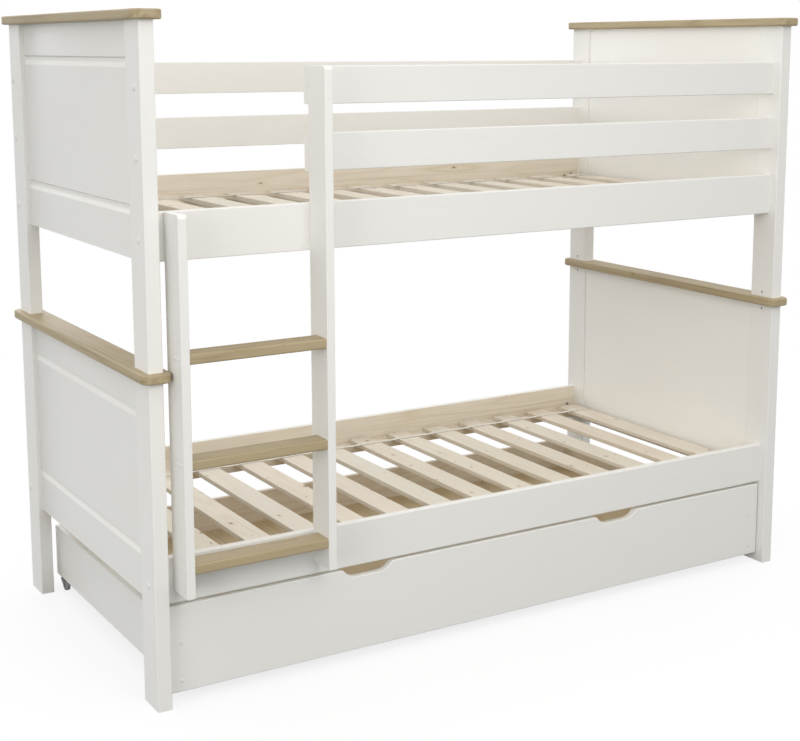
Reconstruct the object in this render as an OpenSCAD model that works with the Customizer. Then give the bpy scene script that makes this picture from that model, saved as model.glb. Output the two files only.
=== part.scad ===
// Bunk bed of two equal single beds stacked one on the other, with a ladder and a rolling trundle.
// X runs along the bed, Y runs from the ladder side to the wall side and Z is up.
// The origin lies on the floor, at the middle of the outline that includes the ladder.

/* [Bed] */
// Length over the posts
bed_l = 2080; // [2030:1:2200]
// Width over the posts
bed_w = 1030; // [930:1:1230]
// Height of one bed's posts
post_h = 833; // [800:1:900]
// Height of a side rail's lower edge above the feet of its posts
rail_z = 263; // [245:1:290]

/* [Posts] */
// Thickness of a post along the bed
post_x = 37.5; // [36:0.5:48]
// Width of a post across the bed
post_y = 93; // [86:1:120]
// Rounding of a post's long edges
post_r = 3; // [1:0.5:6]

/* [End panels] */
// Thickness of an end panel
panel_t = 22; // [18:1:24]
// Step from a post's outer face back to the panel
panel_recess = 13; // [6:1:14]
// Height of a groove across the panel, bevel included
groove_h = 25; // [18:1:32]
// Height of the flat floor of a groove
groove_flat = 14; // [8:1:16]
// Depth of a groove
groove_depth = 6.5; // [3:0.5:9]
// Distance from the panel's top down to the upper groove
groove_top = 86; // [40:1:160]
// Height of the lower groove's shoulder above the panel's lower edge
groove_foot = 132; // [60:1:200]

/* [Caps] */
// Thickness of a cap
cap_t = 24; // [22:1:32]
// How far a cap stands out past the posts
cap_over = 20; // [8:1:24]
// Rounding of a cap's corners seen from above
cap_corner_r = 25; // [18:1:30]
// Rounding of a cap's long edges
cap_edge_r = 5; // [2:0.5:9]

/* [Side rails] */
// Height of a side rail
rail_h = 120; // [105:1:150]
// Thickness of side rails and guard rails
rail_t = 22; // [20:1:28]
// Step from the posts' front faces back to the front rails
rail_inset = 29; // [22:1:36]
// Step from the posts' rear faces in to the rear rails
rear_inset = 16; // [14:1:30]
// Rounding of the rails' long edges
rail_r = 2.5; // [1:0.5:5]

/* [Guard rails] */
// Height of a guard rail
guard_h = 95; // [80:1:100]
// Gap between the upper side rail and the lower guard rail
guard_gap_low = 79; // [60:1:80]
// Gap between the two guard rails
guard_gap = 72; // [60:1:75]

/* [Slats] */
// Number of slats in a bed
slat_n = 14; // [10:1:16]
// Width of a slat
slat_w = 74; // [60:1:95]
// Thickness of a slat
slat_t = 15; // [12:1:20]
// Gap between the end slats and the posts' inner faces
slat_end_gap = 12.5; // [5:0.5:30]
// Gap between a slat's end and the side rail
slat_side_gap = 20.5; // [3:0.5:22]
// Depth of a slat ledger
ledger_d = 42; // [38:1:50]
// Height of a slat ledger
ledger_h = 27; // [18:1:35]
// Height of a ledger above its rail's lower edge
ledger_up = 14; // [5:1:16]
// Gap between a ledger's end and the post
ledger_end_gap = 10; // [0:1:40]
// Width of a webbing strap
strap_w = 20; // [15:1:30]
// Thickness of a webbing strap
strap_t = 1.5; // [1:0.1:2.5]
// Distance from the posts' front or rear faces in to the middle of a strap
strap_in = 138; // [110:1:240]

/* [Ladder] */
// Thickness of a ladder upright along the bed
ladder_t = 22.5; // [20:0.5:30]
// Width of a ladder upright across the bed
ladder_w = 89.5; // [76:0.5:110]
// Gap between the left post and the left upright
ladder_in = 22; // [5:1:60]
// Clear width between the uprights
ladder_clear = 367.5; // [300:0.5:450]
// Height of the uprights' feet above the side rail's lower edge
ladder_foot = 37; // [20:1:50]
// Rounding of the uprights' upper front corners
ladder_top_r = 11; // [4:1:20]
// Number of treads
tread_n = 3; // [2:1:3]
// Thickness of a tread
tread_t = 26; // [20:1:34]
// Depth of a tread
tread_d = 63; // [55:1:72]
// Step from the uprights' front edges back to a tread
tread_set = 3.5; // [0:0.5:8]
// Rounding of a tread's long edges
tread_r = 5; // [2:0.5:9]
// Height of the lowest tread's top above the floor
tread_first = 384.5; // [360:0.5:400]
// Rise from one tread to the next
tread_rise = 260.75; // [240:0.25:280]

/* [Trundle] */
// Thickness of the front board
front_t = 22; // [18:1:28]
// Height of the front board's lower edge above the floor
front_z = 27; // [20:1:30]
// Gap between the front board and the side rail above it
front_gap = 8; // [4:1:12]
// Gap between the front board's ends and the posts
front_side_gap = 3; // [2:0.5:6]
// Distance from the middle of the bed to the middle of a finger notch
notch_x = 426; // [300:1:600]
// Half of the flat floor of a finger notch
notch_flat = 33; // [20:1:45]
// Depth of a finger notch
notch_depth = 24; // [22:1:32]
// Radius at the bottom of a finger notch
notch_r_low = 48; // [40:1:55]
// Radius at the rim of a finger notch
notch_r_top = 8; // [5:1:10]
// How far the rim's round is cut short by the board's top edge
notch_lip = 0.75; // [0.5:0.25:1.5]
// Slope of a finger notch's sides in degrees
notch_slope = 46; // [38:1:50]
// Step from the front board's end in to a side board
side_in = 27.5; // [27:0.5:40]
// Thickness of the side boards and the back board
side_t = 15; // [15:1:24]
// Height of the side boards' lower edge above the floor
side_z = 34; // [33:0.5:40]
// Height of the side boards
side_h = 153; // [120:1:175]
// Gap between the back board and the posts' rear faces
back_gap = 30; // [10:1:60]
// Thickness of the base panels
base_t = 8; // [5:1:12]
// Height of the base panels' tops above the side boards' lower edge
base_up = 51; // [45:1:70]
// Number of base panels
base_n = 4; // [3:1:6]
// Gap between two base panels
base_gap = 1; // [0.5:0.5:4]
// Width of a bearer under the base
bearer_w = 45; // [35:1:60]
// Height of a bearer under the base
bearer_h = 30; // [22:1:36]

/* [Castors] */
// Radius of a castor wheel
wheel_r = 14.5; // [12:0.5:14.5]
// Width of a castor wheel
wheel_w = 14; // [10:0.5:16]
// Distance from the swivel axis back to the wheel's axle
trail = 22; // [18:0.5:22]
// Distance from the back board's rear face to the rear swivels
castor_rear = 44; // [36:1:80]
// Distance from the front board's rear face to the front swivels
castor_front = 104; // [85:1:200]
// Radius of a castor's axle
axle_r = 2; // [1.5:0.25:2.5]
// Thickness of a fork's cheeks and crown
fork_t = 2; // [1.5:0.25:2.5]
// Radius of a castor's stem
stem_r = 3.5; // [3:0.25:4]
// Length of a castor's stem inside the side board
stem_in = 26; // [20:1:36]
// Wall of the sleeve around a stem
sleeve_wall = 1.95; // [1.5:0.05:2.5]
// Length of the sleeve past the stem's end
sleeve_end = 4; // [2:0.5:6]
// Thickness of the sleeve's flange under the board
flange_t = 1.3; // [1:0.1:1.5]
// Step from the side board's faces in to the sleeve's flange
flange_in = 1; // [0.5:0.25:2]
// Wall of a wheel's hub around its axle
hub_wall = 3; // [2:0.25:3.5]
// Thickness of a wheel's rim
rim_t = 3.4; // [2.5:0.1:4.5]
// How far a wheel's web is sunk below hub and rim
web_sink = 1.6; // [0.5:0.1:3]
// Bevel of a wheel's tread
tread_bevel = 1.6; // [0.5:0.1:2.5]

/* [Fasteners] */
// Radius of the bolts that hold the rails
bolt_r = 3; // [2.5:0.25:4]
// Radius of a bolt's head
bolt_head_r = 6; // [5:0.5:6.5]
// Height of a bolt's head
bolt_head_h = 5; // [4:0.5:6]
// Depth of the pocket for a bolt's head
bolt_pocket = 9; // [8.5:0.5:12]
// Length of a bolt inside the rail
bolt_in = 50; // [46:1:70]
// Distance from a rail's end to its barrel nut
nut_in = 30; // [26:1:45]
// Radius of a barrel nut
nut_r = 5; // [4.5:0.25:6]
// Length of a barrel nut
nut_l = 14; // [13:1:15]
// Height of a bolt above its side rail's lower edge
bolt_up = 54; // [45:1:60]
// Radius of a bolt cover's dome
cover_r = 9; // [8:0.5:10]
// Height of a bolt cover's dome
cover_h = 3; // [2:0.5:4]
// Radius of a wooden dowel
dowel_r = 4; // [3:0.5:5]
// Depth of a dowel in each of its two boards
dowel_in = 15; // [10:1:18]
// Distance from a rail's edge to its dowel
dowel_edge = 20; // [14:1:24]
// Radius of the pins that join the two beds
pin_r = 5; // [4:0.5:6]
// Depth of a joining pin in each post
pin_in = 40; // [30:1:60]
// Radius of a locking screw's hole
lock_r = 3.5; // [3:0.25:4]
// Distance from the cap to a locking screw
lock_up = 14; // [10:1:20]
// How far a locking screw is sunk below the post's face
lock_sink = 2; // [1:0.5:4]
// Radius of a wood screw
screw_r = 2.25; // [1.75:0.25:2.5]
// Radius of a wood screw's head
screw_head_r = 4.25; // [3.5:0.25:4.5]
// Height of a wood screw's head
screw_head_h = 3.5; // [2.5:0.5:4]
// Depth of the pocket for a covered screw head
screw_pocket = 6.5; // [6:0.5:8]
// Length of a screw inside the second board
screw_in = 42; // [30:1:50]
// Radius of a screw cover
screw_cover_r = 5.5; // [5:0.5:7]
// Height of a screw cover
screw_cover_h = 1.5; // [1:0.25:2.5]
// Distance from a tread's front edge to its first screw
tread_screw = 15; // [10:1:20]
// Distance between a tread's two screws
tread_screw_gap = 22; // [15:1:28]
// Distance from a side rail's upper edge to its first screw into the ladder
rail_screw = 15; // [12:1:20]
// Distance between the two screws that join a side rail to the ladder
rail_screw_gap = 35; // [25:1:50]
// Distance from a guard rail's edges to its screws into the ladder
guard_screw = 24; // [18:1:30]
// Height of the lower screw above a trundle side board's lower edge
side_screw_low = 22; // [15:1:26]
// Distance from a trundle side board's upper edge down to its upper screw
side_screw_high = 30; // [20:1:40]

/* [Fits] */
// Clearance of a bolt, pin, dowel or screw in its hole
fit = 0.1; // [0.05:0.05:0.3]
// Running clearance of stems and axles
run_fit = 0.05; // [0.02:0.01:0.1]
// Clearance beside a castor wheel
wheel_gap = 0.8; // [0.4:0.1:1.2]
// Clearance between a fork's crown and the sleeve's flange
crown_gap = 0.4; // [0.2:0.1:0.8]

/* [Colours] */
// White paint
white = "#f3f1ee"; // [#f3f1ee, #ffffff, #e8e4dc]
// Stained wood of the caps and treads
stone = "#a9966f"; // [#a9966f, #8f7a55, #c4b08a]
// Bare pine
pine = "#dfcdb2"; // [#dfcdb2, #e8d9bf, #cdb48d]
// Plywood of the trundle's base
base_wood = "#b89f76"; // [#b89f76, #cbb68f]

/* [Hidden] */
$fn = 48;
eps = 1;
inner_l = bed_l - 2*post_x;
level_rise = post_h + cap_t;
ladder_reach = ladder_w - rail_inset;
front_reach = max(ladder_reach, cap_over);
y_shift = -(bed_w + cap_over - front_reach)/2;

// Of front and rear: a rail's step from the posts' faces, its middle and its inner face
rail_step = [rail_inset, rear_inset];
rail_y = [for (step = rail_step) step + rail_t/2];
rail_back = [for (step = rail_step) step + rail_t];
rail_top = rail_z + rail_h;
guard_z = [rail_top + guard_gap_low, rail_top + guard_gap_low + guard_h + guard_gap];
guard_top = guard_z[1] + guard_h;

panel_mid = panel_recess + panel_t/2;
panel_w = bed_w - 2*post_y;
panel_h = post_h - rail_z;
panel_dowels = [rail_z + 4*dowel_edge, post_h - 4*dowel_edge];

ledger_z = rail_z + ledger_up;
slat_z = ledger_z + ledger_h;
slat_l = bed_w - rail_back[0] - rail_back[1] - 2*slat_side_gap;
slat_span = inner_l - 2*slat_end_gap;
slat_pitch = (slat_span - slat_w)/(slat_n - 1);

ladder_x = [post_x + ladder_in, post_x + ladder_in + ladder_t + ladder_clear];
ladder_z = rail_z + ladder_foot;
ladder_top = [level_rise + rail_top, level_rise + guard_top];
tread_y = rail_inset - ladder_w + tread_set;
guard_front_l = bed_l - post_x - ladder_x[1];
upright_r = 2;
slat_r = 2.5;
board_r = 1.5;

front_l = inner_l - 2*front_side_gap;
front_h = rail_z - front_gap - front_z;
side_x = post_x + front_side_gap + side_in;
side_mid = side_x + side_t/2;
trundle_y = [rail_inset + front_t, bed_w - back_gap];
side_l = trundle_y[1] - trundle_y[0];
base_z = side_z + base_up - base_t;
base_l = bed_l - 2*side_x - 2*side_t;
base_w = side_l - side_t;
base_pitch = base_l/base_n;

castor_y = [trundle_y[0] + castor_front, trundle_y[1] - castor_rear];
crown_top = side_z - flange_t - crown_gap;
crown_r = wheel_w/2 + wheel_gap + fork_t;
cheek_r = 2.4*axle_r;
sleeve_r = stem_r + run_fit + sleeve_wall;
flange_r = side_t/2 - flange_in;
stem_top = side_z + stem_in;
sleeve_bore_top = stem_top + crown_gap;
sleeve_top = stem_top + sleeve_end;

// Heights of the screws that hold the ladder, from the feet of the level's posts
rail_screws = [rail_top - rail_screw, rail_top - rail_screw - rail_screw_gap];
guard_screws = [for (z = guard_z) each [z + guard_screw, z + guard_h - guard_screw]];
upper_bolts = [rail_z + bolt_up, guard_z[0] + guard_h/2, guard_z[1] + guard_h/2];

// Frames of reference
// The children of bed() are placed from the middle of the length and the posts' front faces.
module bed() {
    translate([0, y_shift, 0]) children();
}

// The children of end() are placed from the left end, and end 1 mirrors them to the right.
module end(e) {
    mirror([e, 0, 0]) translate([-bed_l/2, 0, 0]) children();
}

// The children of side() are placed from the front, and side 1 mirrors them to the rear.
module side(s) {
    translate([0, s*bed_w, 0]) mirror([0, s, 0]) children();
}

module corner(e, s, level) {
    bed() end(e) side(s) translate([0, 0, level*level_rise]) children();
}

// Shapes used all over the bed
module rounded(size, r) {
    translate([r, 0]) square([size.x - 2*r, size.y]);
    translate([0, r]) square([size.x, size.y - 2*r]);
    for (x = [r, size.x - r], y = [r, size.y - r]) translate([x, y]) circle(r);
}

module board_x(l, w, t, r) {
    rotate([90, 0, 90]) linear_extrude(l) rounded([w, t], r);
}

module board_y(l, w, t, r) {
    translate([0, l, 0]) rotate([90, 0, 0]) linear_extrude(l) rounded([w, t], r);
}

module rod_x(r, l) {
    rotate([0, 90, 0]) cylinder(r = r, h = l);
}

module rod_y(r, l) {
    rotate([-90, 0, 0]) cylinder(r = r, h = l);
}

// A wood screw along +X with the top of its head at x = 0
module screw_x(l) {
    rod_x(screw_head_r, screw_head_h);
    rod_x(screw_r, l);
}

module screw_hole_x(l) {
    rod_x(screw_r + fit, l);
}

// A domed cover on a face at x = 0, with a stud that fills the mouth of the pocket
module cover_x(r, h, stud_r, stud_l) {
    sphere_r = (r*r + h*h)/(2*h);
    rotate([0, -90, 0]) rotate_extrude() {
        intersection() {
            translate([0, h - sphere_r]) circle(sphere_r, $fn = 96);
            square([r, h]);
        }
        translate([0, -stud_l]) square([stud_r, stud_l + h/3]);
    }
}

// Posts
module bolt_bore(y, z) {
    translate([-eps, y, z]) rod_x(bolt_r + fit, post_x + 2*eps);
    translate([-eps, y, z]) rod_x(bolt_head_r + fit, bolt_pocket + eps);
}

module rail_dowel_bore(y, z) {
    translate([post_x - dowel_in, y, z]) rod_x(dowel_r + fit, dowel_in + eps);
}

module post(s, bolts, dowels, pin_z, lock_z, top_bore_r, top_bore_in) {
    difference() {
        linear_extrude(post_h) rounded([post_x, post_y], post_r);
        for (z = bolts) bolt_bore(rail_y[s], z);
        for (z = dowels) rail_dowel_bore(rail_y[s], z);
        for (z = panel_dowels)
            translate([panel_mid, post_y - dowel_in, z]) rod_y(dowel_r + fit, dowel_in + eps);
        translate([post_x/2, post_y/2, pin_z]) cylinder(r = pin_r + fit, h = pin_in + eps);
        translate([post_x/2, post_y/2, post_h - top_bore_in])
            cylinder(r = top_bore_r + fit, h = top_bore_in + eps);
        translate([post_x/2 + pin_r, post_y/2, lock_z]) rod_x(lock_r, post_x/2);
    }
}

function rail_dowels() = [rail_z + dowel_edge, rail_top - dowel_edge];
function guard_dowels() = [guard_z[0] + dowel_edge, guard_z[1] + dowel_edge];

module lower_post(e, s) {
    color(white) corner(e, s, 0)
        post(s, [rail_z + bolt_up], rail_dowels(), post_h - pin_in, post_h - lock_up, pin_r, pin_in);
}

module upper_post(e, s) {
    color(white) corner(e, s, 1)
        post(s, upper_bolts, concat(rail_dowels(), guard_dowels()), -eps, lock_up, dowel_r, dowel_in);
}

// End panels, each with two grooves that have a square shoulder above and a bevel below
module groove(shoulder_z) {
    polygon([
        [-eps, shoulder_z], [groove_depth, shoulder_z], [groove_depth, shoulder_z - groove_flat],
        [0, shoulder_z - groove_h], [-eps, shoulder_z - groove_h]
    ]);
}

module end_panel(e, level) {
    color(white) bed() end(e) translate([panel_recess, post_y, level*level_rise + rail_z]) difference() {
        translate([0, panel_w, 0]) rotate([90, 0, 0]) linear_extrude(panel_w) difference() {
            square([panel_t, panel_h]);
            groove(groove_foot);
            groove(panel_h - groove_top);
        }
        for (z = panel_dowels, y = [-eps, panel_w - dowel_in])
            translate([panel_t/2, y, z - rail_z]) rod_y(dowel_r + fit, dowel_in + eps);
    }
}

// Caps, with round corners and one soft edge that runs all around
module cap_corner() {
    rotate_extrude(angle = 90) {
        square([cap_corner_r - cap_edge_r, cap_t]);
        translate([0, cap_edge_r]) square([cap_corner_r, cap_t - 2*cap_edge_r]);
        for (z = [cap_edge_r, cap_t - cap_edge_r]) translate([cap_corner_r - cap_edge_r, z]) circle(cap_edge_r);
    }
}

module cap_blank() {
    w = post_x + 2*cap_over;
    l = bed_w + 2*cap_over;
    translate([0, cap_corner_r, 0]) board_y(l - 2*cap_corner_r, w, cap_t, cap_edge_r);
    translate([cap_corner_r, 0, 0]) board_x(w - 2*cap_corner_r, l, cap_t, cap_edge_r);
    for (x = [0, 1], y = [0, 1]) translate([w/2, l/2, 0]) mirror([x, 0, 0]) mirror([0, y, 0])
        translate([w/2 - cap_corner_r, l/2 - cap_corner_r, 0]) cap_corner();
}

module cap(e, level) {
    bore_r = level == 0 ? pin_r : dowel_r;
    bore_l = level == 0 ? cap_t : dowel_in;
    color(stone) bed() end(e) difference() {
        translate([-cap_over, -cap_over, level*level_rise + post_h]) cap_blank();
        for (s = [0, 1]) side(s) translate([post_x/2, post_y/2, level*level_rise + post_h - eps])
            cylinder(r = bore_r + fit, h = bore_l + eps + (level == 0 ? eps : fit));
    }
}

// Rails, with a bolt bore, a barrel nut bore and dowel bores at each end that meets a post
module rail_end_bores(bolt_z, dowels) {
    translate([-eps, rail_t/2, bolt_z]) rod_x(bolt_r + fit, bolt_in + 2*eps);
    translate([nut_in, (rail_t - nut_l)/2 - fit, bolt_z]) rod_y(nut_r + fit, (rail_t + nut_l)/2 + fit + eps);
    for (z = dowels) translate([-eps, rail_t/2, z]) rod_x(dowel_r + fit, dowel_in + eps);
}

module rail_blank(l, h, bolt_z, dowels) {
    difference() {
        board_x(l, rail_t, h, rail_r);
        rail_end_bores(bolt_z, dowels);
        translate([l, 0, 0]) mirror([1, 0, 0]) rail_end_bores(bolt_z, dowels);
    }
}

// Screw holes where a ladder upright crosses a rail
module ladder_bores(x, zs) {
    for (z = zs)
        translate([-bed_l/2 + x + ladder_t/2, rail_inset - eps, z]) rod_y(screw_r + fit, rail_t + 2*eps);
}

module side_rail(s, level) {
    zs = [for (z = rail_screws) level*level_rise + z];
    color(white) bed() side(s) difference() {
        translate([-inner_l/2, rail_step[s], level*level_rise + rail_z])
            rail_blank(inner_l, rail_h, bolt_up, [dowel_edge, rail_h - dowel_edge]);
        if (s == 0) ladder_bores(ladder_x[0], zs);
        if (s == 0) ladder_bores(ladder_x[1], zs);
    }
}

module guard_rear(i) {
    color(white) bed() side(1) translate([-inner_l/2, rear_inset, level_rise + guard_z[i]])
        rail_blank(inner_l, guard_h, guard_h/2, [dowel_edge]);
}

module guard_front(i) {
    zs = [for (z = [guard_screw, guard_h - guard_screw]) level_rise + guard_z[i] + z];
    color(white) bed() difference() {
        translate([-bed_l/2 + ladder_x[1], rail_inset, level_rise + guard_z[i]])
            board_x(guard_front_l, rail_t, guard_h, rail_r);
        translate([inner_l/2, rail_inset, level_rise + guard_z[i]]) mirror([1, 0, 0])
            rail_end_bores(guard_h/2, [dowel_edge]);
        ladder_bores(ladder_x[1], zs);
    }
}

// Slats, their ledgers and the webbing that spaces them
module slat_ledgers() {
    color(pine) bed() for (level = [0, 1], s = [0, 1]) side(s)
        translate([-inner_l/2 + ledger_end_gap, rail_back[s], level*level_rise + ledger_z])
            board_x(inner_l - 2*ledger_end_gap, ledger_d, ledger_h, slat_r);
}

module slats(level) {
    color(pine) bed() for (i = [0 : slat_n - 1])
        translate([-slat_span/2 + i*slat_pitch, rail_back[0] + slat_side_gap, level*level_rise + slat_z])
            board_y(slat_l, slat_w, slat_t, slat_r);
}

module slat_straps() {
    color("white") bed() for (level = [0, 1], s = [0, 1]) side(s)
        translate([-slat_span/2, strap_in - strap_w/2, level*level_rise + slat_z + slat_t])
            cube([slat_span, strap_w, strap_t]);
}

// Ladder
function tread_mid(i) = tread_first - tread_t/2 + i*tread_rise;

module tread_screw_places(i) {
    for (y = [tread_screw, tread_screw + tread_screw_gap])
        translate([0, tread_y + y, tread_mid(i)]) children();
}

// The children of each_tread_end() point along +X into a tread from an upright's outer face.
module each_tread_end() {
    bed() for (i = [0 : tread_n - 1]) tread_screw_places(i) {
        translate([-bed_l/2 + ladder_x[0], 0, 0]) children();
        translate([-bed_l/2 + ladder_x[1] + ladder_t, 0, 0]) mirror([1, 0, 0]) children();
    }
}

module upright_blank(h) {
    intersection() {
        rotate([90, 0, 90]) linear_extrude(ladder_t) {
            square([ladder_w, h - ladder_top_r]);
            translate([ladder_top_r, 0]) square([ladder_w - ladder_top_r, h]);
            translate([ladder_top_r, h - ladder_top_r]) circle(ladder_top_r);
        }
        linear_extrude(h) rounded([ladder_t, ladder_w], upright_r);
    }
}

module ladder_upright(i, fixings) {
    color(white) difference() {
        bed() translate([-bed_l/2 + ladder_x[i], rail_inset - ladder_w, ladder_z])
            upright_blank(ladder_top[i] - ladder_z);
        each_tread_end() {
            translate([-eps, 0, 0]) rod_x(screw_head_r + fit, screw_pocket + eps);
            screw_hole_x(ladder_t + eps);
        }
        bed() for (z = fixings)
            translate([-bed_l/2 + ladder_x[i] + ladder_t/2, rail_inset - screw_in - eps, z])
                rod_y(screw_r + fit, screw_in + 2*eps);
    }
}

function left_fixings() = concat(rail_screws, [for (z = rail_screws) level_rise + z]);
function right_fixings() = concat(left_fixings(), [for (z = guard_screws) level_rise + z]);

module tread(i) {
    color(stone) difference() {
        bed() translate([-bed_l/2 + ladder_x[0] + ladder_t, tread_y, tread_mid(i) - tread_t/2])
            board_x(ladder_clear, tread_d, tread_t, tread_r);
        each_tread_end() screw_hole_x(ladder_t + screw_in + fit);
    }
}

module tread_screws() {
    color("silver") each_tread_end() translate([screw_pocket - screw_head_h, 0, 0])
        screw_x(ladder_t - screw_pocket + screw_head_h + screw_in);
}

module screw_covers() {
    color("white") each_tread_end()
        cover_x(screw_cover_r, screw_cover_h, screw_head_r, screw_pocket - screw_head_h - fit);
}

// Screws from the rails' inner faces into the ladder uprights
module ladder_screws() {
    color("silver") bed() for (i = [0, 1]) for (z = i == 0 ? left_fixings() : right_fixings())
        translate([-bed_l/2 + ladder_x[i] + ladder_t/2, rail_back[0] + screw_head_h, z])
            rotate([0, 0, -90]) screw_x(screw_head_h + rail_t + screw_in);
}

// Bolts, nuts, covers, dowels and pins
// Calls its children at every post bolt that holds a rail, along +X from the post's outer face.
module each_bolt(held_only) {
    for (e = [0, 1], s = [0, 1]) {
        corner(e, s, 0) translate([0, rail_y[s], rail_z + bolt_up]) children();
        for (i = [0 : len(upper_bolts) - 1])
            if (i == 0 || e == 1 || s == 1 || !held_only)
                corner(e, s, 1) translate([0, rail_y[s], upper_bolts[i]]) children();
    }
}

module rail_bolts() {
    color("silver") each_bolt(true) {
        translate([bolt_pocket - bolt_head_h, 0, 0]) rod_x(bolt_head_r, bolt_head_h);
        translate([bolt_pocket, 0, 0]) rod_x(bolt_r, post_x - bolt_pocket + bolt_in);
    }
}

module barrel_nuts() {
    color("silver") each_bolt(true) difference() {
        translate([post_x + nut_in, -nut_l/2, 0]) rod_y(nut_r, nut_l);
        translate([post_x + nut_in - nut_r - eps, 0, 0]) rod_x(bolt_r + run_fit, 2*nut_r + 2*eps);
    }
}

module bolt_covers() {
    color("white") each_bolt(false)
        cover_x(cover_r, cover_h, bolt_head_r, bolt_pocket - bolt_head_h - fit);
}

module rail_dowel(s, z) {
    translate([post_x - dowel_in, rail_y[s], z]) rod_x(dowel_r, 2*dowel_in);
}

module dowels() {
    color(pine) for (e = [0, 1], s = [0, 1]) {
        for (level = [0, 1]) corner(e, s, level) {
            for (z = rail_dowels()) rail_dowel(s, z);
            for (z = panel_dowels)
                translate([panel_mid, post_y - dowel_in, z]) rod_y(dowel_r, 2*dowel_in);
        }
        if (e == 1 || s == 1) corner(e, s, 1) for (z = guard_dowels()) rail_dowel(s, z);
        corner(e, s, 1) translate([post_x/2, post_y/2, post_h - dowel_in])
            cylinder(r = dowel_r, h = 2*dowel_in);
    }
}

module joining_pins() {
    color("silver") for (e = [0, 1], s = [0, 1]) corner(e, s, 0)
        translate([post_x/2, post_y/2, post_h - pin_in]) cylinder(r = pin_r, h = 2*pin_in + cap_t);
}

module locking_screws() {
    heights = [post_h - lock_up, level_rise + lock_up];
    tip = post_x/2 + pin_r + 2*fit;
    color("dimgray") for (e = [0, 1], s = [0, 1], z = heights) corner(e, s, 0)
        translate([tip, post_y/2, z]) rod_x(lock_r - fit, post_x - lock_sink - tip);
}

// Trundle
module notch() {
    s = sin(notch_slope);
    c = cos(notch_slope);
    r_sum = notch_r_low + notch_r_top;
    rise = notch_depth + notch_lip;
    rim_x = notch_flat + r_sum*s + (rise - r_sum*(1 - c))/tan(notch_slope);
    rim_z = notch_lip - notch_r_top;
    rim = [rim_x - notch_r_top*s, rim_z + notch_r_top*c];
    lip_x = rim_x - sqrt(notch_r_top^2 - rim_z^2);
    floor_end = [notch_flat + notch_r_low*s, -notch_depth + notch_r_low*(1 - c)];
    for (m = [0, 1]) mirror([m, 0]) difference() {
        union() {
            polygon([
                [-eps, eps], [lip_x, eps], [lip_x, 0], rim, floor_end,
                [notch_flat, -notch_depth], [-eps, -notch_depth]
            ]);
            translate([notch_flat, notch_r_low - notch_depth]) circle(notch_r_low, $fn = 96);
        }
        translate([rim_x, rim_z]) circle(notch_r_top, $fn = 96);
        translate([-2*notch_r_low, -2*notch_depth]) square([2*notch_r_low - eps, 4*notch_depth]);
    }
}

// Puts its children at the two heights of the screws in a side board's ends.
module side_screw_heights() {
    for (z = [side_screw_low, side_h - side_screw_high]) translate([0, 0, side_z + z]) children();
}

module front_screws() {
    bed() for (e = [0, 1]) end(e) side_screw_heights() translate([side_mid, rail_inset, 0])
        rotate([0, 0, 90]) children();
}

module back_screws() {
    bed() for (e = [0, 1]) end(e) side_screw_heights()
        translate([side_x, trundle_y[1] - side_t/2, 0]) children();
}

module trundle_front() {
    color(white) difference() {
        bed() intersection() {
            translate([0, rail_inset + front_t, front_z + front_h]) rotate([90, 0, 0]) linear_extrude(front_t)
                difference() {
                    translate([-front_l/2, -front_h]) square([front_l, front_h]);
                    for (x = [-notch_x, notch_x]) translate([x, 0]) notch();
                }
            translate([-front_l/2, rail_inset, front_z]) board_x(front_l, front_t, front_h, rail_r);
        }
        front_screws() {
            translate([-eps, 0, 0]) rod_x(screw_head_r + fit, screw_pocket + eps);
            screw_hole_x(front_t + eps);
        }
    }
}

module trundle_side(e) {
    color(white) difference() {
        bed() end(e) translate([side_x, trundle_y[0], side_z]) board_y(side_l, side_t, side_h, board_r);
        each_castor() cylinder(r = sleeve_r + fit, h = sleeve_top + fit);
        front_screws() screw_hole_x(front_t + screw_in);
        back_screws() screw_hole_x(side_t + eps);
        back_screws() translate([-eps, 0, 0]) rod_x(screw_head_r + fit, screw_head_h + eps);
    }
}

module trundle_back() {
    color(pine) difference() {
        bed() translate([-base_l/2, trundle_y[1] - side_t, side_z]) board_x(base_l, side_t, side_h, board_r);
        back_screws() screw_hole_x(side_t + screw_in);
    }
}

module trundle_base() {
    color(base_wood) bed() for (i = [0 : base_n - 1])
        translate([-base_l/2 + i*base_pitch + (i == 0 ? 0 : base_gap/2), trundle_y[0], base_z])
            cube([base_pitch - (i == 0 || i == base_n - 1 ? base_gap/2 : base_gap), base_w, base_t]);
}

module trundle_bearers() {
    reach = base_l - bearer_w;
    color(pine) bed() for (i = [0 : base_n])
        translate([-base_l/2 + i*reach/base_n, trundle_y[0], base_z - bearer_h])
            board_y(base_w, bearer_w, bearer_h, board_r);
}

module trundle_screws() {
    color("silver") {
        front_screws() translate([screw_pocket - screw_head_h, 0, 0])
            screw_x(front_t - screw_pocket + screw_head_h + screw_in);
        back_screws() screw_x(side_t + screw_in);
    }
}

module trundle_covers() {
    color("white") front_screws()
        cover_x(screw_cover_r, screw_cover_h, screw_head_r, screw_pocket - screw_head_h - fit);
}

// Castors, each with a sleeve in the side board, a swivelling fork and a wheel
// The children of castor() have the swivel axis at x = y = 0 and the floor at z = 0.
module castor(e, s) {
    bed() end(e) translate([side_mid, castor_y[s], 0]) children();
}

module each_castor() {
    for (e = [0, 1], s = [0, 1]) castor(e, s) children();
}

module castor_sleeves() {
    color("gray") each_castor() rotate_extrude() polygon([
        [stem_r + run_fit, side_z - flange_t], [flange_r, side_z - flange_t],
        [flange_r, side_z], [sleeve_r, side_z], [sleeve_r, sleeve_top],
        [0, sleeve_top], [0, sleeve_bore_top], [stem_r + run_fit, sleeve_bore_top]
    ]);
}

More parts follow.
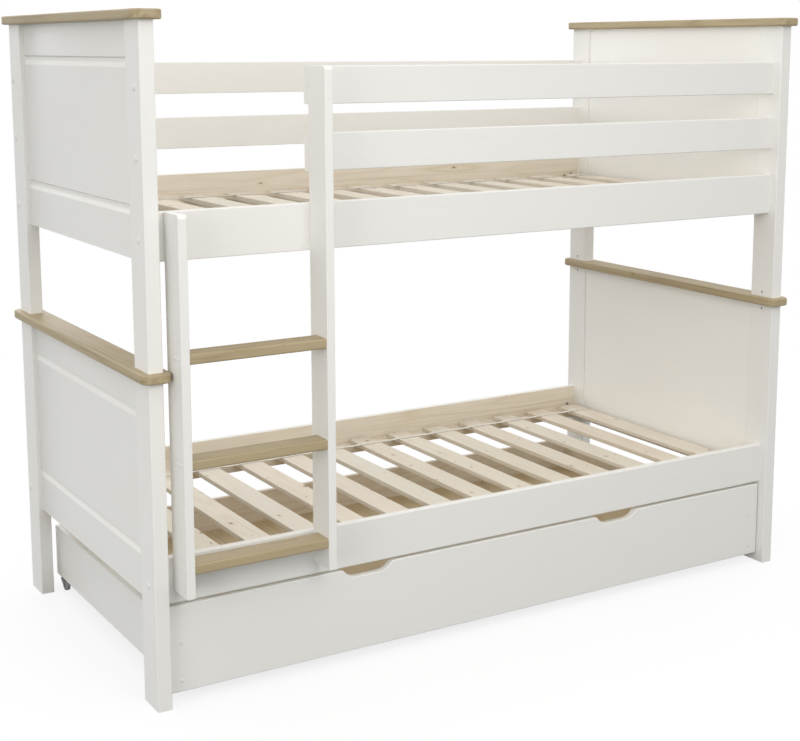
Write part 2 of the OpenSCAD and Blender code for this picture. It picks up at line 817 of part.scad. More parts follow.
module cheek() {
    rotate([90, 0, 90]) linear_extrude(fork_t) {
        translate([-trail, wheel_r]) circle(cheek_r);
        polygon([
            [-trail - cheek_r, wheel_r], [-trail + cheek_r, wheel_r],
            [crown_r/2, crown_top], [-trail - cheek_r, crown_top]
        ]);
    }
}

module castor_fork(e, s) {
    color("dimgray") castor(e, s) {
        translate([0, 0, crown_top - fork_t]) cylinder(r = stem_r, h = stem_top - crown_top + fork_t);
        translate([0, 0, crown_top - fork_t]) linear_extrude(fork_t) {
            circle(crown_r);
            translate([-crown_r, -trail - cheek_r]) square([2*crown_r, trail + cheek_r]);
        }
        for (m = [0, 1]) mirror([m, 0, 0]) translate([crown_r - fork_t, 0, 0]) cheek();
        translate([-crown_r, -trail, wheel_r]) rod_x(axle_r, 2*crown_r);
    }
}

// Half of a wheel's section, from the bore to the tread, with a web sunk between hub and rim
function wheel_half() = let (w = wheel_w/2, hub_r = axle_r + hub_wall, rim_r = wheel_r - rim_t) [
    [axle_r + run_fit, w], [hub_r, w], [hub_r + web_sink/2, w - web_sink],
    [rim_r - web_sink/2, w - web_sink], [rim_r, w], [wheel_r - tread_bevel, w], [wheel_r, w - tread_bevel]
];

module castor_wheel(e, s) {
    half = wheel_half();
    other_half = [for (i = [len(half) - 1 : -1 : 0]) [half[i].x, -half[i].y]];
    color("gray") castor(e, s) translate([0, -trail, wheel_r]) rotate([0, 90, 0]) rotate_extrude()
        polygon(concat(half, other_half));
}

lower_post(0, 0);  // lower_post_lf
lower_post(0, 1);  // lower_post_lr
lower_post(1, 0);  // lower_post_rf
lower_post(1, 1);  // lower_post_rr
upper_post(0, 0);  // upper_post_lf
upper_post(0, 1);  // upper_post_lr
upper_post(1, 0);  // upper_post_rf
upper_post(1, 1);  // upper_post_rr
end_panel(0, 0);  // lower_panel_left
end_panel(1, 0);  // lower_panel_right
end_panel(0, 1);  // upper_panel_left
end_panel(1, 1);  // upper_panel_right
cap(0, 0);  // lower_cap_left
cap(1, 0);  // lower_cap_right
cap(0, 1);  // upper_cap_left
cap(1, 1);  // upper_cap_right
side_rail(0, 0);  // lower_rail_front
side_rail(1, 0);  // lower_rail_rear
side_rail(0, 1);  // upper_rail_front
side_rail(1, 1);  // upper_rail_rear
guard_front(0);  // guard_front_low
guard_front(1);  // guard_front_high
guard_rear(0);  // guard_rear_low
guard_rear(1);  // guard_rear_high
slat_ledgers();
slats(0);  // lower_slats
slats(1);  // upper_slats
slat_straps();
ladder_upright(0, left_fixings());  // ladder_upright_left
ladder_upright(1, right_fixings());  // ladder_upright_right
tread(0);  // tread_low
tread(1);  // tread_middle
tread(2);  // tread_high
tread_screws();
screw_covers();
ladder_screws();
rail_bolts();
barrel_nuts();
bolt_covers();
dowels();
joining_pins();
locking_screws();
trundle_front();
trundle_side(0);  // trundle_side_left
trundle_side(1);  // trundle_side_right
trundle_back();
trundle_base();
trundle_bearers();
trundle_screws();
trundle_covers();
castor_sleeves();
castor_fork(0, 0);  // castor_fork_lf
castor_fork(0, 1);  // castor_fork_lr
castor_fork(1, 0);  // castor_fork_rf
castor_fork(1, 1);  // castor_fork_rr
castor_wheel(0, 0);  // castor_wheel_lf
castor_wheel(0, 1);  // castor_wheel_lr
castor_wheel(1, 0);  // castor_wheel_rf
castor_wheel(1, 1);  // castor_wheel_rr
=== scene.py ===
"""Dresses the bunk bed with trundle and sets up a plain studio around it."""

import math

import bpy
import numpy as np
from bpy.props import FloatProperty, FloatVectorProperty, IntProperty, PointerProperty
from mathutils import Euler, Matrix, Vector


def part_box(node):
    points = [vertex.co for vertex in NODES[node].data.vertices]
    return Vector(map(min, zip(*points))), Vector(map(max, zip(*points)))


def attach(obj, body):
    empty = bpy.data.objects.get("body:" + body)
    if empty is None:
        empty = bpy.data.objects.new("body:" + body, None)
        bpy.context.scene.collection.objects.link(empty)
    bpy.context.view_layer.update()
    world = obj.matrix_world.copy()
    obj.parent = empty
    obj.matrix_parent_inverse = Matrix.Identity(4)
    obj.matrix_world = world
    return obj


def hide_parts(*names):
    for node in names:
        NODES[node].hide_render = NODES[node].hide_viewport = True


bl_info = {
    "name": "Bunk Bed with Trundle",
    "version": (1, 0, 0),
    "blender": (4, 5, 0),
    "location": "3D View > Sidebar > Bunk Bed",
    "description": "Paint, wood and small parts for a bunk bed with a trundle, and a studio for it",
    "category": "Add Mesh",
}

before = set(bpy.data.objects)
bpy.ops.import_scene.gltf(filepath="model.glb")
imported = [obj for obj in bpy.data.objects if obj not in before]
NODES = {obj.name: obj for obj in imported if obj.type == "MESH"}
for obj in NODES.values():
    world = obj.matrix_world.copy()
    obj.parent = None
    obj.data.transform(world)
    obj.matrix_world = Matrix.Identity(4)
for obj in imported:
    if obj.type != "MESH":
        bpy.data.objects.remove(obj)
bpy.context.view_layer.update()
MM = 0.001

# Places that the CAD source gives, in metres
STRAP_SPACE = 0.02  # width of a strap there, in which the narrower tape lies
BOLT_UP = 54 * MM  # from a side rail's lower edge up to its bolt
TREAD_SCREWS = (15 * MM, 37 * MM)  # from a tread's front edge
TRUNDLE_SCREWS = (22 * MM, 30 * MM)  # up from a side board's foot, and down from its top
NUT_FROM_END = 30 * MM  # from a guard rail's end to its nut bore

# Scales of the noise fields along, across and through a board, in cells to the metre
RING_SCALE = (1.1, 12.0, 12.0)
KNOT_EDGE_SCALE = (90.0, 160.0, 160.0)
FIBRE_SCALE = (9.0, 700.0, 700.0)
PATCH_SCALE = (2.0, 9.0, 9.0)
STREAK_SCALE = (1.6, 130.0, 130.0)
PAINT_FIBRE_SCALE = (7.0, 420.0, 420.0)
PAINT_PATCH_SCALE = (1.6, 5.0, 5.0)
PAINT_MIST_SCALE = (900.0, 900.0, 900.0)
STOREY_SHIFT = 3.71  # moves the grain along, from one metre of height to the next
HALF_RINGS = 17.0  # steps from pale to dark or back over the range of the ring field
KNOT_LEAST, KNOT_SPREAD = 0.03, 0.055  # radius of the smallest knot and what chance adds, in cells
KNOT_WOBBLE = 0.02  # how far a knot's edge strays from round, in cells
KNOT_FADE = 0.08  # distance from a cell's border over which a knot fades out, in cells
SLAT_SEEDS = {"lower": 41, "upper": 97}

# Radius and height of the covers
BOLT_DOME = (9 * MM, 3 * MM)
SCREW_DOME = (5.5 * MM, 1.5 * MM)
NUT_PLUG = (5.6 * MM, 0.6 * MM)

GREY_SLAT, PINK_SLAT, BROWN_SLAT = (0.72, 0.71, 0.62), (0.84, 0.69, 0.60), (0.66, 0.55, 0.40)
DARK_STEEL = (0.09, 0.085, 0.08)
FORK_STEEL = (0.30, 0.30, 0.31)
WARM_LIGHT = (1.0, 0.975, 0.945)


def corners(node):
    """The lowest and highest corner of a CAD node as arrays, in metres."""
    low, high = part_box(node)
    return np.array(low), np.array(high)


def show(name, data):
    """A new object with that data, in the scene."""
    made = bpy.data.objects.new(name, data)
    bpy.context.scene.collection.objects.link(made)
    return made


# Properties


def colour_property(name, description, default):
    """A colour, each channel from 0 to 1."""
    return FloatVectorProperty(name=name, description=description, subtype="COLOR", default=default,
                               min=0, max=1)


def length_property(name, description, default):
    """A length in metres."""
    return FloatProperty(name=name, description=description, subtype="DISTANCE", unit="LENGTH",
                         default=default)


class BedFinishes(bpy.types.PropertyGroup):
    """Colours of paint, wood, tape, plastic and steel"""

    paint: colour_property("Paint", "White paint of the frame", (0.855, 0.848, 0.815))
    stain: colour_property("Stain", "Stone-coloured stain of the caps and treads", (0.435, 0.352, 0.210))
    stain_late: colour_property(
        "Stained late wood", "Darker rings in the stained wood", (0.31, 0.235, 0.125))
    stain_knot: colour_property(
        "Stained knots", "Heart of a knot in the stained wood", (0.23, 0.13, 0.06))
    pine: colour_property("Pine", "Bare pine of the slats", (0.83, 0.765, 0.65))
    pine_late: colour_property("Late pine", "Darker rings in the bare pine", (0.70, 0.585, 0.43))
    knot: colour_property("Knots", "Dark heart of a knot", (0.22, 0.12, 0.06))
    base: colour_property("Base", "Wood of the trundle's base", (0.70, 0.58, 0.38))
    base_late: colour_property("Base figure", "Darker figure of the trundle's base", (0.60, 0.47, 0.29))
    webbing: colour_property("Webbing", "Woven tape that spaces the slats", (0.90, 0.86, 0.77))
    plastic: colour_property("Covers", "Plastic covers over bolts and screws", (0.84, 0.83, 0.81))
    castor: colour_property("Castors", "Grey plastic of wheels and sleeves", (0.22, 0.22, 0.23))
    steel: colour_property("Steel", "Zinc-plated steel", (0.56, 0.56, 0.57))


class BedSizes(bpy.types.PropertyGroup):
    """Sizes of what the scene shapes anew"""

    slat_count: IntProperty(name="Slats", description="Slats in one bed", default=14, min=2, max=20)
    slat_width: length_property("Slat width", "Width of a slat", 0.074)
    edge: length_property("Soft edge", "Rounding of a sawn edge", 0.0025)
    slat_bow: length_property("Slat bow", "How far a slat bows out of straight", 0.0004)
    strap_width: length_property("Strap width", "Width of the webbing", 0.014)
    strap_sag: length_property("Strap sag", "Sag of the webbing between two slats", 0.0012)
    groove_height: length_property("Groove height", "Height of a panel groove, bevel included", 0.025)
    groove_flat: length_property("Groove floor", "Height of a groove's flat floor", 0.014)
    groove_depth: length_property("Groove depth", "Depth of a panel groove", 0.0065)
    groove_slope: length_property(
        "Groove slope", "How far a groove's upper wall drops from the face to the floor", 0.0035)
    groove_top: length_property("Upper groove", "From the panel's top down to the upper groove", 0.086)
    groove_foot: length_property(
        "Lower groove", "From the panel's foot up to the lower groove's shoulder", 0.132)
    panel_joint: length_property("Panel joint", "Chamfer of a panel's edges next to the posts", 0.002)
    notch_place: length_property("Notch place", "From the middle of the bed to a finger notch", 0.426)
    notch_flat: length_property("Notch floor", "Half of a finger notch's flat floor", 0.033)
    notch_depth: length_property("Notch depth", "Depth of a finger notch", 0.024)
    notch_bowl: length_property(
        "Notch bowl", "Radius between a finger notch's floor and its sides", 0.048)
    notch_rim: length_property("Notch rim", "Radius at the rim of a finger notch", 0.008)
    notch_slope: FloatProperty(
        name="Notch slope", description="Slope of a finger notch's sides", subtype="ANGLE",
        default=math.radians(46),
    )


class StudioSettings(bpy.types.PropertyGroup):
    """Camera, lamps and floor"""

    camera_place: FloatVectorProperty(
        name="Camera place", description="Where the camera stands", subtype="XYZ", unit="LENGTH",
        default=(-2.2746, -3.7341, 1.6251),
    )
    camera_yaw: FloatProperty(
        name="Camera yaw", description="Turn of the camera from +Y towards +X", subtype="ANGLE",
        default=math.radians(31.629),
    )
    camera_pitch: FloatProperty(
        name="Camera pitch", description="How far the camera looks down", subtype="ANGLE",
        default=math.radians(9.114),
    )
    lens: FloatProperty(name="Lens", description="Focal length in millimetres", default=65.87)
    shift: FloatVectorProperty(
        name="Shift", description="Lens shift", size=2, default=(-0.0257, -0.11),
    )
    sky: FloatProperty(name="Sky", description="Strength of the light from all round", default=1.0)
    key: FloatProperty(name="Key", description="Power of the softbox at the left", default=34.5)
    front: FloatProperty(
        name="Front", description="Power of the softbox in front of the ladder", default=24.0,
    )
    rear: FloatProperty(name="Rear", description="Power of the softbox behind the bed", default=30.0)
    side: FloatProperty(name="Side", description="Power of the softbox at the right", default=24.0)
    floor_white: FloatProperty(
        name="Floor white", description="Share of plain white in what the camera sees of the near floor",
        default=0.80, min=0, max=1,
    )
    floor_bounce: FloatProperty(
        name="Floor bounce", description="Share of the light that the floor gives back to the bed",
        default=0.12, min=0, max=1,
    )


# Materials


def new_tree(name):
    """A new material and its empty node tree."""
    material = bpy.data.materials.new(name)
    material.use_nodes = True
    material.node_tree.nodes.clear()
    return material, material.node_tree


def add(tree, kind, inputs=None, **settings):
    """Adds a shader node. Inputs are values or sockets, by name or number."""
    made = tree.nodes.new(kind)
    for key, value in settings.items():
        setattr(made, key, value)
    for key, value in (inputs or {}).items():
        if isinstance(value, bpy.types.NodeSocket):
            tree.links.new(value, made.inputs[key])
        else:
            made.inputs[key].default_value = value
    return made


def maths(tree, operation, a, b=0.0):
    """One arithmetic node and its result."""
    return add(tree, "ShaderNodeMath", {0: a, 1: b}, operation=operation).outputs[0]


def times(tree, a, b):
    """The product of two values."""
    return maths(tree, "MULTIPLY", a, b)


def plus(tree, a, b):
    """The sum of two values."""
    return maths(tree, "ADD", a, b)


def ramp_between(tree, value, low, high, smooth=True):
    """0 below low, 1 above high, and a smooth rise between them."""
    kind = "SMOOTHSTEP" if smooth else "LINEAR"
    made = add(tree, "ShaderNodeMapRange", {"Value": value, "From Min": low, "From Max": high},
               interpolation_type=kind)
    return made.outputs["Result"]


def blend_colour(tree, factor, a, b):
    """Blends colour a towards colour b."""
    made = add(tree, "ShaderNodeMix", data_type="RGBA")
    for socket, value in ((made.inputs[0], factor), (made.inputs[6], a), (made.inputs[7], b)):
        if isinstance(value, bpy.types.NodeSocket):
            tree.links.new(value, socket)
        elif isinstance(value, (int, float)):
            socket.default_value = value
        else:
            socket.default_value = (*value[:3], 1.0)
    return made.outputs[2]


def seen_rays(tree):
    """1 for rays of the camera, of a reflection or through glass, and 0 for those that light the bed."""
    paths = add(tree, "ShaderNodeLightPath").outputs
    through = maths(tree, "MAXIMUM", paths["Is Glossy Ray"], paths["Is Transmission Ray"])
    return maths(tree, "MAXIMUM", paths["Is Camera Ray"], through)


def object_place(tree):
    """The place of a point on its piece, in metres."""
    return add(tree, "ShaderNodeTexCoord").outputs["Object"]


def board_coords(tree, axes):
    """Object coordinates with the board's length first, its width second and its thickness third."""
    split = add(tree, "ShaderNodeSeparateXYZ", {0: object_place(tree)})
    along, across, through = (split.outputs["XYZ".index(axis)] for axis in axes)
    return along, across, through, split


def scaled(tree, x, y, z, scale):
    """A vector of three values, each times its own scale."""
    joined = add(tree, "ShaderNodeCombineXYZ", {0: x, 1: y, 2: z}).outputs[0]
    made = add(tree, "ShaderNodeVectorMath", {0: joined, 1: scale}, operation="MULTIPLY")
    return made.outputs[0]


def noise(tree, vector, scale=1.0, detail=2.0, roughness=0.5, distortion=0.0):
    """A noise field, from 0 to 1."""
    return add(tree, "ShaderNodeTexNoise", {
        "Vector": vector, "Scale": scale, "Detail": detail, "Roughness": roughness,
        "Distortion": distortion,
    }).outputs[0]


def knot_layers(tree, board, cells, knots):
    """Knots of a board: how far each reaches over a point, how much of its heart lies there, and the
    point's distance in knot radii.

    Each cell of a Voronoi pattern holds a knot by chance, of a size that is the square of another chance,
    and the knot fades out before its cell's border. With two cell scales it runs through the board, and
    with three it is a small branch near its surface.
    """
    spots = scaled(tree, *board, (*cells, 0.0)[:3])
    space = f"{len(cells)}D"
    inputs = {"Vector": spots, "Scale": 1.0, "Randomness": 1.0}
    voronoi = add(tree, "ShaderNodeTexVoronoi", inputs, voronoi_dimensions=space)
    borders = add(tree, "ShaderNodeTexVoronoi", inputs, voronoi_dimensions=space,
                  feature="DISTANCE_TO_EDGE")
    chance = add(tree, "ShaderNodeSeparateColor", {0: voronoi.outputs["Color"]})
    present = maths(tree, "GREATER_THAN", chance.outputs[0], 1.0 - knots)
    present = times(tree, present, ramp_between(tree, borders.outputs["Distance"], 0.0, KNOT_FADE))
    wobble = noise(tree, scaled(tree, *board, KNOT_EDGE_SCALE), detail=2)
    distance = plus(tree, voronoi.outputs["Distance"], times(tree, wobble, KNOT_WOBBLE))
    size = times(tree, chance.outputs[1], chance.outputs[1])
    radius = plus(tree, times(tree, size, KNOT_SPREAD), KNOT_LEAST)
    nearness = maths(tree, "DIVIDE", distance, radius)
    core = times(tree, present, maths(tree, "SUBTRACT", 1.0, ramp_between(tree, nearness, 0.75, 1.15)))
    halo = times(tree, present, maths(tree, "SUBTRACT", 1.0, ramp_between(tree, nearness, 0.8, 3.6)))
    return halo, core, nearness


def wood_layers(tree, axes, early, late, knot, tint=None, knots=0.5, shift=0.0, cells=(8.5, 12.0),
                grain=0.5):
    """Colour, roughness and height of sawn wood.

    The rings are contour lines of a noise field that is stretched along the board, and each knot lifts
    that field, so that the lines run round it. Fibres are a second noise, fine across and long along, and
    streaks a third one, wider apart.
    """
    along, across, through, split = board_coords(tree, axes)
    storey = maths(tree, "FLOOR", split.outputs[2])
    along = plus(tree, plus(tree, along, times(tree, storey, STOREY_SHIFT)), shift)
    board = along, across, through
    halo, core, nearness = knot_layers(tree, board, cells, knots)
    field = noise(tree, scaled(tree, *board, RING_SCALE), detail=1.5, distortion=0.2)
    field = plus(tree, field, times(tree, halo, 0.12))
    rings = maths(tree, "PINGPONG", times(tree, field, HALF_RINGS), 1.0)
    rings = maths(tree, "POWER", rings, 2.5)
    fibres = noise(tree, scaled(tree, *board, FIBRE_SCALE), detail=3)
    broad = noise(tree, scaled(tree, *board, PATCH_SCALE), detail=2)
    streaks = noise(tree, scaled(tree, *board, STREAK_SCALE), detail=3, roughness=0.6)
    strength = times(tree, rings, ramp_between(tree, broad, 0.25, 0.8))
    colour = blend_colour(tree, strength, early, late)
    fibre_colour = blend_colour(tree, 0.25, colour, late)
    colour = blend_colour(tree, ramp_between(tree, fibres, 0.35, 0.75), colour, fibre_colour)
    streak = times(tree, ramp_between(tree, streaks, 0.52, 0.74), grain)
    colour = blend_colour(tree, streak, colour, [0.86 * c for c in late])
    if tint is not None:
        colour = tint(tree, colour, split)
    colour = blend_colour(tree, times(tree, halo, 0.4), colour, late)
    rim = blend_colour(tree, 0.3, knot, late)
    heart = blend_colour(tree, ramp_between(tree, nearness, 0.2, 0.9), rim, knot)
    colour = blend_colour(tree, times(tree, core, 0.85), colour, heart)
    rough = plus(tree, times(tree, fibres, 0.14), 0.46)
    height = plus(tree, times(tree, rings, 0.4), fibres)
    return colour, rough, height


def paint_layers(tree, axes, paint):
    """Colour, roughness and height of satin paint through which the wood's grain just tells."""
    *board, _ = board_coords(tree, axes)
    fibres = noise(tree, scaled(tree, *board, PAINT_FIBRE_SCALE), detail=3)
    broad = noise(tree, scaled(tree, *board, PAINT_PATCH_SCALE), detail=2)
    mist = noise(tree, scaled(tree, *board, PAINT_MIST_SCALE), detail=1)
    shade = [c * 0.94 for c in paint]
    warm = (paint[0] * 1.005, paint[1] * 0.998, paint[2] * 0.985)
    colour = blend_colour(tree, ramp_between(tree, broad, 0.3, 0.75), paint, warm)
    colour = blend_colour(tree, times(tree, ramp_between(tree, fibres, 0.45, 0.8), 0.35),
                          colour, shade)
    rough = plus(tree, times(tree, broad, 0.12), 0.34)
    height = plus(tree, fibres, times(tree, mist, 0.35))
    return colour, rough, height


def close_tree(tree, colour, rough, height, bump, **sockets):
    """Joins the layers to a Principled shader with a bump of that depth in metres."""
    normal = add(tree, "ShaderNodeBump", {"Height": height, "Strength": 0.5, "Distance": bump})
    inputs = {"Base Color": colour, "Roughness": rough, "Normal": normal.outputs[0]}
    inputs.update(sockets)
    shader = add(tree, "ShaderNodeBsdfPrincipled", inputs)
    add(tree, "ShaderNodeOutputMaterial", {"Surface": shader.outputs[0]})


def white_paint(name, axes):
    """Satin white paint on pine, with the grain along the first axis."""
    finishes = bpy.context.scene.bed_finishes
    material, tree = new_tree(name)
    close_tree(tree, *paint_layers(tree, axes, finishes.paint), 0.00025)
    return material


def sawn_wood(name, axes, colours, bump, *settings):
    """Sawn wood from its early, late and knot colours. The settings are wood_layers' own."""
    material, tree = new_tree(name)
    close_tree(tree, *wood_layers(tree, axes, *colours, *settings), bump)
    return material


def bare_pine(name, axes, tint=None, knots=0.5, shift=0.0):
    """Pale pine without a finish, with brown knots."""
    finishes = bpy.context.scene.bed_finishes
    colours = finishes.pine, finishes.pine_late, finishes.knot
    return sawn_wood(name, axes, colours, 0.0003, tint, knots, shift)


def stained_pine(name, axes, shift=0.0):
    """Pine under a stone-coloured stain, with strong streaks and many small knots."""
    finishes = bpy.context.scene.bed_finishes
    colours = finishes.stain, finishes.stain_late, finishes.stain_knot
    return sawn_wood(name, axes, colours, 0.00025, None, 0.85, shift, (11.0, 16.0, 24.0), 0.9)


def base_wood(name, axes):
    """Warm wood of the trundle's base, with few knots."""
    finishes = bpy.context.scene.bed_finishes
    colours = finishes.base, finishes.base_late, [0.6 * c for c in finishes.base_late]
    return sawn_wood(name, axes, colours, 0.0002, None, 0.18)


def half_painted(name, axes, side_axis, inner, outwards):
    """White paint outside and bare pine on the face that looks into the bed.

    The bare side is where the coordinate on side_axis has passed the inner face.
    """
    finishes = bpy.context.scene.bed_finishes
    material, tree = new_tree(name)
    wood = wood_layers(tree, axes, finishes.pine, finishes.pine_late, finishes.knot, None, 0.45, 0.0,
                       (4.0, 8.5))
    paint = paint_layers(tree, axes, finishes.paint)
    split = add(tree, "ShaderNodeSeparateXYZ", {0: object_place(tree)})
    gone = maths(tree, "SUBTRACT", split.outputs["XYZ".index(side_axis)], inner)
    gone = times(tree, gone, outwards)
    bare = ramp_between(tree, gone, -0.0009, -0.0003, smooth=False)
    colour = blend_colour(tree, bare, paint[0], wood[0])
    rough = add(tree, "ShaderNodeMix", {0: bare, 2: paint[1], 3: wood[1]}).outputs[0]
    height = add(tree, "ShaderNodeMix", {0: bare, 2: paint[2], 3: wood[2]}).outputs[0]
    close_tree(tree, colour, rough, height, 0.00025)
    return material


def moulded_plastic(name, colour, rough=0.38):
    """Moulded plastic with a fine grain and a slight drift in tone."""
    material, tree = new_tree(name)
    place = object_place(tree)
    grit = noise(tree, place, scale=2600.0, detail=2)
    drift = noise(tree, place, scale=35.0, detail=2)
    tone = blend_colour(tree, drift, colour, [0.93 * c for c in colour])
    roughness = plus(tree, times(tree, drift, 0.1), rough)
    close_tree(tree, tone, roughness, grit, 0.0001)
    return material


def zinc_steel(name, colour, rough=0.32):
    """Zinc plating with a spangle of Voronoi cells and a fine grain."""
    material, tree = new_tree(name)
    place = object_place(tree)
    spangle = add(tree, "ShaderNodeTexVoronoi", {"Vector": place, "Scale": 700.0})
    cell = add(tree, "ShaderNodeSeparateColor", {0: spangle.outputs["Color"]}).outputs[0]
    grain = noise(tree, place, scale=1500.0, detail=3)
    tone = blend_colour(tree, cell, colour, [0.82 * c for c in colour])
    roughness = plus(tree, times(tree, cell, 0.15), rough)
    close_tree(tree, tone, roughness, grain, 0.00005, Metallic=1.0)
    return material


def woven_tape(name, colour):
    """Woven tape: ribs across it and warp threads along it, from two sets of waves along X and Y."""
    material, tree = new_tree(name)
    place = object_place(tree)
    weft = add(tree, "ShaderNodeTexWave", {"Vector": place, "Scale": 160.0, "Distortion": 0.6},
               bands_direction="X").outputs["Fac"]
    warp = add(tree, "ShaderNodeTexWave", {"Vector": place, "Scale": 260.0, "Distortion": 0.4},
               bands_direction="Y").outputs["Fac"]
    weave = times(tree, weft, warp)
    tone = blend_colour(tree, weave, [0.90 * c for c in colour], colour)
    rough = maths(tree, "SUBTRACT", 0.95, times(tree, weave, 0.1))
    close_tree(tree, tone, rough, weave, 0.0001)
    return material


def slat_pitch(low, high, sizes):
    """From one slat to the next, from the corners of a bed's slats."""
    return (high[0] - low[0] - sizes.slat_width) / (sizes.slat_count - 1)


def slat_tint(tree, colour, split):
    """Gives each slat its own shade, between straw, grey and pink, by its place along the bed."""
    sizes = bpy.context.scene.bed_sizes
    low, high = corners("lower_slats")
    pitch = slat_pitch(low, high, sizes)
    middle = low[0] + (sizes.slat_width - pitch) / 2
    from_middle = maths(tree, "SUBTRACT", split.outputs[0], middle)
    index = maths(tree, "FLOOR", maths(tree, "DIVIDE", from_middle, pitch))
    storey = maths(tree, "FLOOR", split.outputs[2])
    seed = add(tree, "ShaderNodeCombineXYZ", {0: index, 1: storey, 2: 0.37}).outputs[0]
    chance = add(tree, "ShaderNodeTexWhiteNoise", {"Vector": seed}, noise_dimensions="3D")
    channels = add(tree, "ShaderNodeSeparateColor", {0: chance.outputs["Color"]}).outputs
    greyer = blend_colour(tree, times(tree, channels[0], 0.55), colour, GREY_SLAT)
    pinker = blend_colour(tree, times(tree, channels[1], 0.22), greyer, PINK_SLAT)
    return blend_colour(tree, times(tree, channels[2], 0.25), pinker, BROWN_SLAT)


def coat(material, *nodes):
    """Gives CAD nodes a material in place of their plain one."""
    for name in nodes:
        mesh = NODES[name].data
        mesh.materials.clear()
        mesh.materials.append(material)


# Surfaces worked out as whole arrays


def make_piece(name, points, faces, material, body, replaces=(), sharp=40.0):
    """A mesh piece from points and faces, smooth but for edges sharper than the angle in degrees."""
    mesh = bpy.data.meshes.new(name)
    mesh.from_pydata(np.asarray(points).reshape(-1, 3).tolist(), [], faces)
    mesh.validate()
    mesh.shade_smooth()
    mesh.set_sharp_from_angle(angle=math.radians(sharp))
    mesh.materials.append(material)
    piece = show(name, mesh)
    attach(piece, body)
    if replaces:
        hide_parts(*replaces)
    return piece


def ring_faces(rings, count, copies=1):
    """Quads between neighbouring closed rings of count points, for that many separate copies."""
    ring, step = np.meshgrid(np.arange(rings - 1), np.arange(count), indexing="ij")
    ahead = (step + 1) % count
    quads = np.stack([ring * count + step, ring * count + ahead,
                      (ring + 1) * count + ahead, (ring + 1) * count + step], axis=-1).reshape(-1, 4)
    offsets = np.arange(copies)[:, None, None] * rings * count
    return (quads[None] + offsets).reshape(-1, 4).tolist()


def end_faces(rings, count, copies=1):
    """One flat face over the first ring and one over the last, for that many separate copies."""
    first = np.arange(count)[::-1]
    last = np.arange(count) + (rings - 1) * count
    offsets = np.arange(copies)[:, None, None] * rings * count
    return (np.stack([first, last])[None] + offsets).reshape(-1, count).tolist()


def closed_faces(points, copies=1):
    """Quads round a body of closed rings, with a flat face over each of its ends."""
    rings, count = points.shape[:2]
    return ring_faces(rings, count, copies) + end_faces(rings, count, copies)


def soft_loop(outline, cut, steps=5, hold=0.0008):
    """A closed outline whose corners are rounded.

    Each corner is replaced by a quadratic curve from the point one cut before it to the point one cut
    after it, drawn towards the corner. A point a little further out on each side keeps the flats flat.
    """
    outline = np.asarray(outline, float)
    cut = np.broadcast_to(cut, len(outline))[:, None]
    before = np.roll(outline, 1, axis=0) - outline
    after = np.roll(outline, -1, axis=0) - outline
    before /= np.linalg.norm(before, axis=1, keepdims=True)
    after /= np.linalg.norm(after, axis=1, keepdims=True)
    t = np.linspace(0, 1, steps + 1)[None, :, None]
    start = (outline + before * cut)[:, None]
    stop = (outline + after * cut)[:, None]
    curve = (1 - t) ** 2 * start + 2 * t * (1 - t) * outline[:, None] + t ** 2 * stop
    held_in = (outline + before * (cut + hold))[:, None]
    held_out = (outline + after * (cut + hold))[:, None]
    return np.concatenate([held_in, curve, held_out], axis=1).reshape(-1, 2)


def outward(loop):
    """Unit normals of a closed loop that runs anticlockwise, pointing out of it."""
    along = np.roll(loop, -1, axis=0) - np.roll(loop, 1, axis=0)
    normal = np.stack([along[:, 1], -along[:, 0]], axis=1)
    return normal / np.linalg.norm(normal, axis=1, keepdims=True)


def plate(loop, thickness, edge, steps=4, hold=0.0008):
    """A flat plate of that outline with rounded rims.

    Rings of the outline run from the front to the back. Towards each face they draw in along the
    outline's normals as the cosine of an angle does, while the depth follows its sine.
    Returns (rings, points, 3) with the depth as the third coordinate.
    """
    angle = np.linspace(0, math.pi / 2, steps + 1)
    drawn, sunk = edge * (1 - np.sin(angle)), edge * (1 - np.cos(angle))
    inset = np.concatenate([[edge + hold], drawn, drawn[::-1], [edge + hold]])
    depth = np.concatenate([[0.0], sunk, thickness - sunk[::-1], [thickness]])
    flat = loop[None] - outward(loop)[None] * inset[:, None, None]
    third = np.broadcast_to(depth[:, None, None], (*flat.shape[:2], 1))
    return np.concatenate([flat, third], axis=2)


def tube(path, radius, normal, sides=6):
    """Rings round a flat path, spanned by the path's own side direction and the plane's normal."""
    path = np.asarray(path, float)
    along = np.gradient(path, axis=0)
    along /= np.linalg.norm(along, axis=1, keepdims=True)
    side = np.cross(along, normal)
    angle = np.linspace(0, 2 * math.pi, sides, endpoint=False)
    return (path[:, None] + radius * (np.cos(angle)[None, :, None] * side[:, None]
            + np.sin(angle)[None, :, None] * np.asarray(normal, float)[None, None]))


def lathe(profile, sides=32):
    """Rings of a turned shape about Z, from (radius, height) pairs."""
    profile = np.asarray(profile, float)
    angle = np.linspace(0, 2 * math.pi, sides, endpoint=False)
    round_part = profile[:, None, :1] * np.stack([np.cos(angle), np.sin(angle)], axis=1)[None]
    height = np.broadcast_to(profile[:, None, 1:], (len(profile), sides, 1))
    return np.concatenate([round_part, height], axis=2)


def turn_to(points, direction):
    """Turns a shape made about +Z to point along an axis direction."""
    direction = np.asarray(direction, float)
    helper = np.array([0.0, 0.0, 1.0]) if abs(direction[2]) < 0.5 else np.array([1.0, 0.0, 0.0])
    first = np.cross(helper, direction)
    second = np.cross(direction, first)
    return points @ np.stack([first, second, direction])


# Operators


